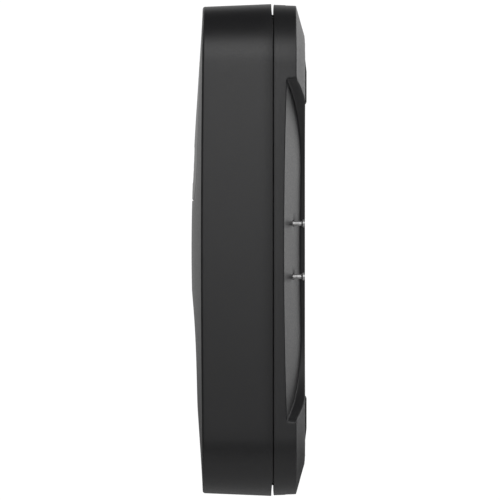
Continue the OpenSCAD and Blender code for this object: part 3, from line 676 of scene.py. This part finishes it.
def make_light_ring():
    back = corners("light_ring")[1].y
    inner = BUTTON_R + FIT
    skin = Skin()
    mid = (inner + RING_OUT) / 2
    half = (RING_OUT - inner) / 2
    profile = []
    for i in range(9):
        a = math.radians(-90 + 22.5 * i)
        profile.append((mid + half * math.sin(a), RING_SINK + RING_BULGE * (1 - math.cos(a))))
    loops = [skin.loop(circle(r, BUTTON_AT, 128), lambda x, z, d=d: crown(x, z) + d) for r, d in profile]
    back_in = skin.loop(circle(inner, BUTTON_AT, 128), back)
    back_out = skin.loop(circle(RING_OUT, BUTTON_AT, 128), back)
    skin.bridges([back_in, back_out] + loops[::-1] + [back_in])
    stand_in(skin.build("light_band"), "base", "diffuser", "light_ring")


COVER_R = 6.5
COVER_SINK = 0.15
COVER_DOME = 0.35
BEZEL_IN, BEZEL_OUT = 6.55, 7.5


def make_lens_trim():
    at = (0, middle("lens_cover").z)
    front = crown(*at)
    foot = LENS_SEAT_Y - front
    skin = Skin()
    profile = [(BEZEL_IN, foot), (BEZEL_IN, 0.35), (6.65, 0.2), (6.85, 0.08), (7.2, 0.05), (7.42, 0.08),
               (BEZEL_OUT, 0.2), (BEZEL_OUT, foot)]
    loops = [skin.loop(circle(r, at, 120), lambda x, z, d=d: crown(x, z) + d) for r, d in profile]
    skin.bridges(loops[::-1] + loops[-1:])
    stand_in(skin.build("lens_surround"), "base", "window_plastic", "lens_bezel")

    def dome(x, z):
        r = math.hypot(x, z - at[1]) / COVER_R
        return front + COVER_SINK + COVER_DOME * r * r

    glass = crowned_cap("lens_window", lambda inset: circle(COVER_R - inset, at, 120), dome, LENS_SEAT_Y, 0.12, 1.2)
    stand_in(glass, "base", "clear_cover", "lens_cover")


LENSLET = 2.2
LENSLET_DEPTH = 0.22


def make_motion_lens():
    low, high = corners("motion_lens")
    mid_z = (low.z + high.z) / 2
    w, h = high.x - low.x, high.z - low.z

    def ring(inset):
        return outline(w - 2 * inset, h - 2 * inset, 3.4 - inset, 8, 24, 10, (0, mid_z))

    def lenslets(x, z):
        dx = (x / LENSLET + 0.5) % 1 - 0.5
        dz = ((z - mid_z) / LENSLET + 0.5) % 1 - 0.5
        return crown(x, z) + 0.1 + LENSLET_DEPTH * (dx * dx + dz * dz)

    lens = crowned_cap("motion_lens_cap", ring, lenslets, high.y, 0.12, 0.3)
    stand_in(lens, "base", "button_plastic", "motion_lens")


# ---- rear housing ----

SLOPE_W = 8.5
SLOPE_H = 2.4
LAND_BLEND = 0.22
LEAN = 0.2
SCALLOP_FLOOR = 6
SCALLOP_RISE = 0.77
SCALLOP_TILT = math.tan(math.radians(15.4))
SCALLOP_LEN = 90.4
SPINE_W = 30
BEND_R = 25
RUN_R = 2.8
WALL_LEAN = 0.14
TOP_ROUND = 0.3
FOOT_ROUND = 0.3
EDGE = 0.3
PAD_HALF_W = 13
PAD_BACK_Y = RIM_Y + 3.1
RIM_EDGE = 0.12
POCKET_HALF_W, POCKET_HALF_H = 26.6, 48.5
POCKET_Y = -6.6
WALL_HOLE_R = 2.2
WALL_HOLE_EDGE = 0.15
CASE_HOLE_R = 2.4
CASE_HEAD_R = 2.2
CASE_HOLE_DEPTH = 1.35
SETUP_HOLE_R = 2.4
SETUP_HOLE_Y = -5.6
PORT_W, PORT_H = 3.6, 9.4
PORT_Y = -6.4
GROOVE_W = 1.74
GROOVE_Y = -3.75
BUSH_R = 1.6
BUSH_SEAT_Y = -5.4
BEND_X = SPINE_W / 2 + BEND_R
RUN_X = HALF_W - RUN_R
RUN_Z = SCALLOP_LEN / 2
BEND_Z = RUN_Z - math.sqrt((BEND_R + RUN_R) ** 2 - (BEND_X - RUN_X) ** 2)
FLOOR_R = (RUN_Z ** 2 + SCALLOP_RISE ** 2) / (2 * SCALLOP_RISE)


def rear_ring(inset):
    """The housing's outline, with close points where a scallop runs out at the side."""
    w, h, r = 2 * (HALF_W - inset), 2 * (HOUSING_HALF_H - inset), CORNER_R - inset
    low = [-RUN_Z + 2.5 * math.sin(math.radians(a)) for a in range(-90, 91, 6)]
    side = sorted(low + [2 * i - 40 for i in range(41)] + [-z for z in low])
    end = [(w / 2 - r) - (w - 2 * r) * i / 16 for i in range(1, 16)]
    spans = [[(x, h / 2) for x in end], [(-w / 2, z) for z in side[::-1]],
             [(-x, -h / 2) for x in end], [(w / 2, z) for z in side]]
    pts = []
    for c, span in enumerate(spans):
        pts += [corner_point(w, h, r, c, i / 20) for i in range(21)] + span
    return pts


def inset_of(x, z):
    """How far a point lies inside the housing's outline."""
    qx, qz = abs(x) - HALF_W + CORNER_R, abs(z) - HOUSING_HALF_H + CORNER_R
    return CORNER_R - math.hypot(max(qx, 0), max(qz, 0)) - min(max(qx, qz), 0)


def scallop_gap(x, z):
    """Distance to the scallop's wall: positive on the land, negative in the scallop."""
    x, z = abs(x), abs(z)
    if z < BEND_Z:
        return SPINE_W / 2 - x
    beyond = (x - BEND_X) * (RUN_Z - BEND_Z) - (z - BEND_Z) * (RUN_X - BEND_X)
    if beyond > 0 and x > RUN_X - RUN_R:
        if z < RUN_Z:
            return RUN_R - math.hypot(x - RUN_X, z - RUN_Z)
        return max(RUN_R - (x - RUN_X), z - RUN_Z + 0.01)
    return math.hypot(x - BEND_X, z - BEND_Z) - BEND_R


def land(x, z):
    """The Y of the back outside the scallops: a plateau inside a sloping border."""
    slope = PLATEAU_Y - SLOPE_H + SLOPE_H / SLOPE_W * inset_of(x, z)
    return blend_min(slope, PLATEAU_Y, LAND_BLEND)


def scallop_floor(x, z):
    """The Y of a scallop's floor, which is bowed along Z and tilted across it."""
    arc = FLOOR_R - math.sqrt(max(FLOOR_R ** 2 - z * z, 0))
    return -SCALLOP_FLOOR + arc + (HALF_W - abs(x)) * SCALLOP_TILT


def back_height(x, z):
    """The Y of the housing's back over a point."""
    top, gap = land(x, z), scallop_gap(x, z)
    if gap > WALL_LEAN + TOP_ROUND:
        return top
    foot = min(scallop_floor(x, z), top)
    if gap < -FOOT_ROUND:
        return foot
    drop = top - foot
    high_r, low_r = min(TOP_ROUND, drop / 2), min(FOOT_ROUND, drop / 2)
    if gap >= WALL_LEAN:
        t = (WALL_LEAN + TOP_ROUND - gap) / TOP_ROUND
        return top - high_r * (1 - math.sqrt(max(1 - t * t, 0)))
    if gap <= 0:
        t = (gap + FOOT_ROUND) / FOOT_ROUND
        return foot + low_r * (1 - math.sqrt(max(1 - t * t, 0)))
    t = gap / WALL_LEAN
    return foot + low_r + (drop - high_r - low_r) * t


WALL_OFFSETS = (-1.2, -0.7, -0.3, -0.2, -0.1, -0.03, 0, 0.03, 0.07, 0.11, 0.14, 0.17, 0.24, 0.34, 0.44, 0.8, 1.4)


def scallop_rows(side):
    """Rows of points beside one scallop's wall, close together across it."""
    wall = [((SPINE_W / 2, BEND_Z * i / 24), (-1, 0)) for i in range(-24, 25)]
    meet = math.atan2(RUN_Z - BEND_Z, RUN_X - BEND_X)
    for s in (1, -1):
        part = []
        for i in range(1, 41):
            a = math.pi + (meet - math.pi) * i / 40
            n = (math.cos(a), math.sin(a))
            part.append(((BEND_X + BEND_R * n[0], s * (BEND_Z + BEND_R * n[1])), (n[0], s * n[1])))
        for i in range(1, 13):
            a = meet + math.pi + (math.tau - meet - math.pi) * i / 12
            n = (math.cos(a), math.sin(a))
            part.append(((RUN_X + RUN_R * n[0], s * (RUN_Z + RUN_R * n[1])), (-n[0], -s * n[1])))
        wall = wall + part if s > 0 else part[::-1] + wall
    return [[(side * (p[0] + n[0] * d), p[1] + n[1] * d) for p, n in wall] for d in WALL_OFFSETS]


def groove(at, off):
    """The outline of a terminal's wire groove: round at the screw, and running out where the floor drops below it."""
    half = GROOVE_W / 2 + off
    end = HALF_W - (GROOVE_Y + SCALLOP_FLOOR) / SCALLOP_TILT - 0.35 + off
    turn = [math.radians(90 + 180 * i / 16) for i in range(17)]
    bend = [(at.x + half * math.cos(a), at.z + half * math.sin(a)) for a in turn]
    near = [(at.x + (end - at.x) * k / 6, at.z - half) for k in range(1, 7)]
    return bend + near + [(end - (end - at.x) * k / 6, at.z + half) for k in range(6)]


def padded(pts, heights):
    """Points of the outline at their heights, lifted by the low pads on the end faces."""
    out = []
    for (x, z), y in zip(pts, heights):
        if abs(z) > HOUSING_HALF_H - 0.9 and y < PAD_BACK_Y + 0.05:
            width = smooth((PAD_HALF_W - abs(x)) / 0.35 + 0.5)
            depth = smooth((PAD_BACK_Y - y) / 0.12 + 0.5)
            z += math.copysign(PAD_LIFT * width * depth, z)
        out.append((x, z))
    return out


def housing_sides(skin):
    """The rim, the side walls and the rounded edge round the back. Returns the first and the last loop."""
    loops = []
    for inset, y in ((RIM_EDGE, RIM_Y), (0.03, RIM_Y + 0.04), (0, RIM_Y + RIM_EDGE)):
        ring = rear_ring(inset)
        loops.append(skin.loop(padded(ring, [RIM_Y] * len(ring)), y))
    tops = [back_height(x, z) for x, z in rear_ring(LEAN + EDGE)]
    for y in [-7] + [PAD_BACK_Y + step for step in (-0.1, -0.03, 0.03, 0.1, 0.25)]:
        ring = rear_ring(LEAN * (y - RIM_Y) / (PLATEAU_Y - SLOPE_H - RIM_Y))
        level = [min(y, top - EDGE - 0.02) for top in tops]
        loops.append(skin.loop(padded(ring, level), level))
    for i in range(6):
        a = math.radians(18 * i)
        ring = rear_ring(LEAN + EDGE * (1 - math.cos(a)))
        loops.append(skin.loop(ring, [top - EDGE * (1 - math.sin(a)) for top in tops]))
    skin.bridges(loops[::-1])
    return loops[0], loops[-1]


def wall_holes(skin):
    """The four through holes for the wall screws. Returns their loops at the rim and on the back."""
    pattern = next(m for m in frame["record"]["mounts"] if m["name"] == "wall_screws")["dims"]
    x, z = pattern["spacing_x_mm"] / 2, pattern["spacing_y_mm"] / 2
    fronts, backs = [], []
    for spot in ((-x, -z), (-x, z), (x, -z), (x, z)):
        edge, bore = circle(WALL_HOLE_R + WALL_HOLE_EDGE, spot, 48), circle(WALL_HOLE_R, spot, 48)
        loops = [skin.loop(edge, RIM_Y), skin.loop(bore, RIM_Y + WALL_HOLE_EDGE),
                 skin.loop(bore, lambda x, z: land(x, z) - WALL_HOLE_EDGE), skin.loop(edge, land)]
        skin.bridges(loops)
        fronts.append(loops[0])
        backs.append(loops[-1])
    return fronts, backs


def well(skin, outline_at, mouth, floor_y):
    """A blind hole in the back. mouth is a list of offsets and depths below the back. Returns its loop there."""
    loops = [skin.loop(outline_at(off), lambda x, z, d=depth: back_height(x, z) - d) for off, depth in mouth]
    loops.append(skin.loop(outline_at(0), floor_y))
    skin.bridges(loops[::-1])
    skin.patch(loops[-1], [], lambda x, z: floor_y, 1.5, front=False)
    return loops[0]


def back_wells(skin):
    """The holes of the case screws, the terminals, the charging port and the setup button."""
    head = corners("housing_screws")[1]
    x, z = head.x - CASE_HEAD_R, head.z - CASE_HEAD_R
    wells = []
    for spot in ((-x, -z), (-x, z), (x, -z), (x, z)):
        wells.append(well(skin, lambda off, at=spot: circle(CASE_HOLE_R + off, at, 48),
                          [(0.15, 0), (0, 0.15)], PLATEAU_Y - CASE_HOLE_DEPTH))
    for screw in TERMINALS:
        wells.append(well(skin, lambda off, at=screw: groove(at, off), [(0.1, 0), (0.02, 0.04), (0, 0.12)], GROOVE_Y))
    port, setup = middle("charging_port"), middle("setup_button")
    wells.append(well(
        skin, lambda off: outline(PORT_W + 2 * off, PORT_H + 2 * off, 1.75 + off, 12, 2, 6, (port.x, port.z)),
        [(0.25, 0), (0.07, 0.07), (0, 0.25)], PORT_Y))
    wells.append(well(skin, lambda off: circle(SETUP_HOLE_R + off, (setup.x, setup.z), 48),
                      [(0.2, 0), (0.06, 0.06), (0, 0.2)], SETUP_HOLE_Y))
    return wells


def bush_seats(skin):
    """The seats of the terminals' bushes, in the pocket's floor. Returns their mouths."""
    mouths = []
    for screw in TERMINALS:
        ring = circle(BUSH_R, (screw.x, screw.z), 32)
        mouth, seat = skin.loop(ring, POCKET_Y), skin.loop(ring, BUSH_SEAT_Y)
        skin.bridge(mouth, seat)
        skin.patch(seat, [], lambda x, z: BUSH_SEAT_Y, 1.5)
        mouths.append(mouth)
    return mouths


def make_rear_housing():
    skin = Skin()
    rim, back = housing_sides(skin)
    fronts, backs = wall_holes(skin)
    backs += back_wells(skin)
    skin.patch(back, backs, back_height, 2.4, front=False, rows=scallop_rows(1) + scallop_rows(-1))
    pocket_ring = outline(2 * POCKET_HALF_W, 2 * POCKET_HALF_H, 2, 6, 8, 16)
    pocket, floor = skin.loop(pocket_ring, RIM_Y), skin.loop(pocket_ring, POCKET_Y)
    skin.bridge(pocket, floor)
    skin.patch(floor, bush_seats(skin), lambda x, z: POCKET_Y, 8)
    skin.patch(rim, [pocket] + fronts, lambda x, z: RIM_Y, 5)
    stand_in(skin.build("rear_shell", 32), "base", "housing_plastic", "rear_housing")


make_faceplate()
make_window()
make_button()
make_light_ring()
make_lens_trim()
make_motion_lens()
make_rear_housing()


# ---- camera, floor and light ----

SENSOR = 36
CAMERA_FAR = 1.5
PHOTO_SPAN = 0.12992
AXIS_Y = -0.0146


def look(obj, target):
    """Turns a camera or a lamp to face a point."""
    aim = Vector(target) - obj.location
    obj.rotation_euler = aim.to_track_quat("-Z", "Y").to_euler()


camera = bpy.data.objects.new("camera", bpy.data.cameras.new("camera"))
camera.data.sensor_width = SENSOR
camera.data.lens = SENSOR * CAMERA_FAR / PHOTO_SPAN
camera.data.clip_end = 50
camera.location = (CAMERA_FAR, AXIS_Y, 0)
look(camera, (0, AXIS_Y, 0))
bpy.context.scene.collection.objects.link(camera)
bpy.context.scene.camera = camera
bpy.context.scene.view_settings.view_transform = "Standard"


def softbox(name, at, size, power, target=(0, -0.015, 0)):
    """A soft rectangular lamp that the camera doesn't see."""
    lamp = bpy.data.lights.new(name, "AREA")
    lamp.shape = "RECTANGLE"
    lamp.size, lamp.size_y = size
    lamp.energy = power
    box = bpy.data.objects.new(name, lamp)
    box.location = at
    box.visible_camera = False
    bpy.context.scene.collection.objects.link(box)
    look(box, target)


softbox("side_light", (0.42, -0.03, 0.21), (0.42, 0.40), 1.3, (0, -0.02, 0.08))
softbox("wall_light", (-0.36, -0.10, 0.16), (0.5, 0.42), 0.31, (0, -0.03, 0.05))
softbox("back_light", (-0.32, 0.30, 0.16), (0.36, 0.42), 0.66, (0, 0, 0.05))
softbox("front_high", (-0.35, -0.75, 0.55), (0.5, 0.5), 1.8)
softbox("back_high", (0.05, 0.75, 0.65), (0.5, 0.5), 2.2)


ROOM_DIM = 0.05
WALL_LIGHT = 0.27
BACKDROP = 1.05
PAPER_GLOW = 0.72
FLOOR_SPAN = 2.5
FLOOR_Z = -0.3


def studio():
    """A white room: a bright wall behind the object, and little light from its sides, above or below."""
    world = bpy.data.worlds.new("studio")
    world.use_nodes = True
    tree = world.node_tree
    tree.nodes.clear()
    where = tree.nodes.new("ShaderNodeTexCoord")
    parts = tree.nodes.new("ShaderNodeSeparateXYZ")
    tree.links.new(where.outputs["Generated"], parts.inputs["Vector"])
    behind = spread(tree, parts.outputs["X"], ROOM_DIM, WALL_LIGHT, -0.45, -0.85)
    height = spread(tree, parts.outputs["Z"], 0.55, 1.1, -0.35, 0.25)
    level = tree.nodes.new("ShaderNodeMath")
    level.operation = "MULTIPLY"
    tree.links.new(behind, level.inputs[0])
    tree.links.new(height, level.inputs[1])
    room = tree.nodes.new("ShaderNodeBackground")
    tree.links.new(level.outputs["Value"], room.inputs["Strength"])
    white = tree.nodes.new("ShaderNodeBackground")
    white.inputs["Strength"].default_value = BACKDROP
    rays = tree.nodes.new("ShaderNodeLightPath")
    mix = tree.nodes.new("ShaderNodeMixShader")
    tree.links.new(rays.outputs["Is Camera Ray"], mix.inputs["Fac"])
    tree.links.new(room.outputs["Background"], mix.inputs[1])
    tree.links.new(white.outputs["Background"], mix.inputs[2])
    out = tree.nodes.new("ShaderNodeOutputWorld")
    tree.links.new(mix.outputs["Shader"], out.inputs["Surface"])
    for ground in (room, white):
        ground.inputs["Color"].default_value = (1, 1, 1, 1)
    bpy.context.scene.world = world


def paper(name):
    """White studio paper, which the camera sees evenly lit."""
    made = surface(name, (0.9, 0.9, 0.9), 0.9, grain=300, depth=0.01, tone=0.01)
    shader = made.node_tree.nodes["Principled BSDF"]
    shader.inputs["Emission Color"].default_value = (1, 1, 1, 1)
    rays = made.node_tree.nodes.new("ShaderNodeLightPath")
    seen = spread(made.node_tree, rays.outputs["Is Camera Ray"], 0, PAPER_GLOW, 0, 1)
    made.node_tree.links.new(seen, shader.inputs["Emission Strength"])
    return made


studio()

floor_mesh = bpy.data.meshes.new("floor")
floor_corners = [(x * FLOOR_SPAN, y * FLOOR_SPAN, FLOOR_Z) for x, y in ((-1, -1), (1, -1), (1, 1), (-1, 1))]
floor_mesh.from_pydata(floor_corners, [], [(0, 1, 2, 3)])
floor = bpy.data.objects.new("floor", floor_mesh)
bpy.context.scene.collection.objects.link(floor)
floor.data.materials.append(paper("floor_paper"))
